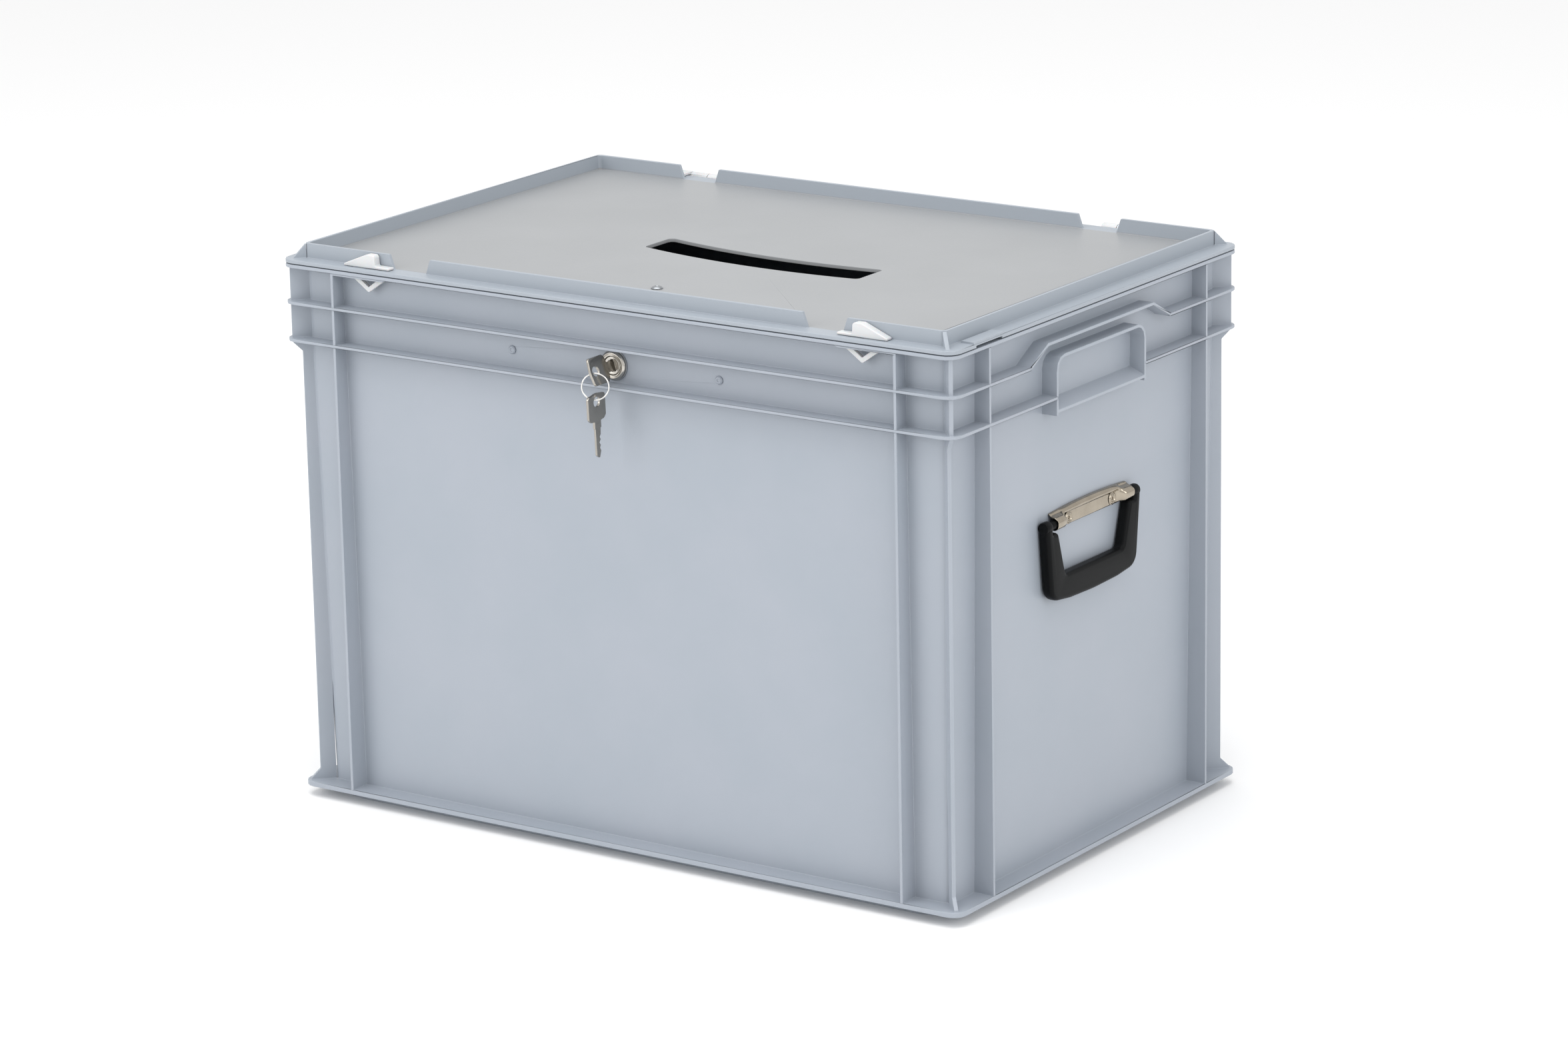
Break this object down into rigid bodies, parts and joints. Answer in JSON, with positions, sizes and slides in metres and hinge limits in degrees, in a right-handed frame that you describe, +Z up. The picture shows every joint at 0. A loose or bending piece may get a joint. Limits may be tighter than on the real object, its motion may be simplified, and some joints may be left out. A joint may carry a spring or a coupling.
{
  "type": "lockable ballot box",
  "caption": "Grey stacking container with a hinged lid that has a curved drop-in slot, white snap latches, a cam lock with keys on a ring, and black suitcase handles.",
  "frame": {"origin": "middle of the foot's underside, on the surface the box stands on", "axes": "+X along the long side to the right end, +Y to the hinged back, +Z up; the lock faces -Y"},
  "size_m": [0.6, 0.4335, 0.4353],
  "materials": {
    "container_plastic": "satin moulded polypropylene, light blue-grey",
    "lid_plastic": "satin moulded polypropylene, light grey",
    "white_plastic": "satin",
    "black_plastic": "satin",
    "nickel": "bright nickel plate",
    "zinc_steel": "zinc plated"
  },
  "bodies": {
    "box": {"container_body": "container_plastic", "lock_housing": "nickel", "lock_washer": "zinc_steel", "lock_nut": "zinc_steel", "stiffener_bar": "zinc_steel", "hinge_base_left": "white_plastic", "hinge_pin_left": "zinc_steel", "wall_screw_left": "container_plastic", "wall_nut_left": "zinc_steel", "handle_plate_left": "nickel", "handle_backing_left": "zinc_steel", "handle_rivet_left_front": "nickel", "handle_rivet_left_back": "nickel", "hinge_base_right": "white_plastic", "hinge_pin_right": "zinc_steel", "wall_screw_right": "container_plastic", "wall_nut_right": "zinc_steel", "handle_plate_right": "nickel", "handle_backing_right": "zinc_steel", "handle_rivet_right_front": "nickel", "handle_rivet_right_back": "nickel"},
    "lid": {"lid": "lid_plastic", "hinge_leaf_left": "white_plastic", "hinge_leaf_right": "white_plastic", "keeper": "zinc_steel", "keeper_screw": "zinc_steel", "keeper_nut": "zinc_steel"},
    "latch_left": {"latch_left": "white_plastic"},
    "latch_right": {"latch_right": "white_plastic"},
    "plug": {"lock_plug": "nickel", "lock_cam": "zinc_steel", "lock_cam_screw": "zinc_steel"},
    "key": {"key": "nickel"},
    "ring": {"key_ring": "nickel"},
    "spare": {"spare_key": "nickel"},
    "grip_left": {"handle_grip_left": "black_plastic"},
    "grip_right": {"handle_grip_right": "black_plastic"}
  },
  "joints": [
    {"name": "lid_hinge", "type": "hinge", "parent": "box", "child": "lid", "pos_m": [0, 0.2065, 0.4208], "axis": [-1, 0, 0], "range_deg": [0, 180]},
    {"name": "latch_left_slide", "type": "slide", "parent": "lid", "child": "latch_left", "axis": [1, 0, 0], "range_m": [0, 0.015]},
    {"name": "latch_right_slide", "type": "slide", "parent": "lid", "child": "latch_right", "axis": [-1, 0, 0], "range_m": [0, 0.015]},
    {"name": "lock_turn", "type": "hinge", "parent": "box", "child": "plug", "pos_m": [0, -0.19101, 0.376], "axis": [0, 1, 0], "range_deg": [0, 90]},
    {"name": "key_slide", "type": "slide", "parent": "plug", "child": "key", "axis": [0, -1, 0], "range_m": [0, 0.03]},
    {"name": "ring_swing", "type": "hinge", "parent": "key", "child": "ring", "pos_m": [0, -0.21141, 0.3747], "axis": [0, 1, 0], "range_deg": [-10, 10]},
    {"name": "spare_key_swing", "type": "hinge", "parent": "ring", "child": "spare", "pos_m": [0, -0.21141, 0.3536], "axis": [0, 1, 0], "range_deg": [-25, 25]},
    {"name": "handle_left_hinge", "type": "hinge", "parent": "box", "child": "grip_left", "pos_m": [-0.29088, 0, 0.2643], "axis": [0, 1, 0], "range_deg": [0, 100]},
    {"name": "handle_right_hinge", "type": "hinge", "parent": "box", "child": "grip_right", "pos_m": [0.29088, 0, 0.2643], "axis": [0, -1, 0], "range_deg": [0, 100]}
  ]
}
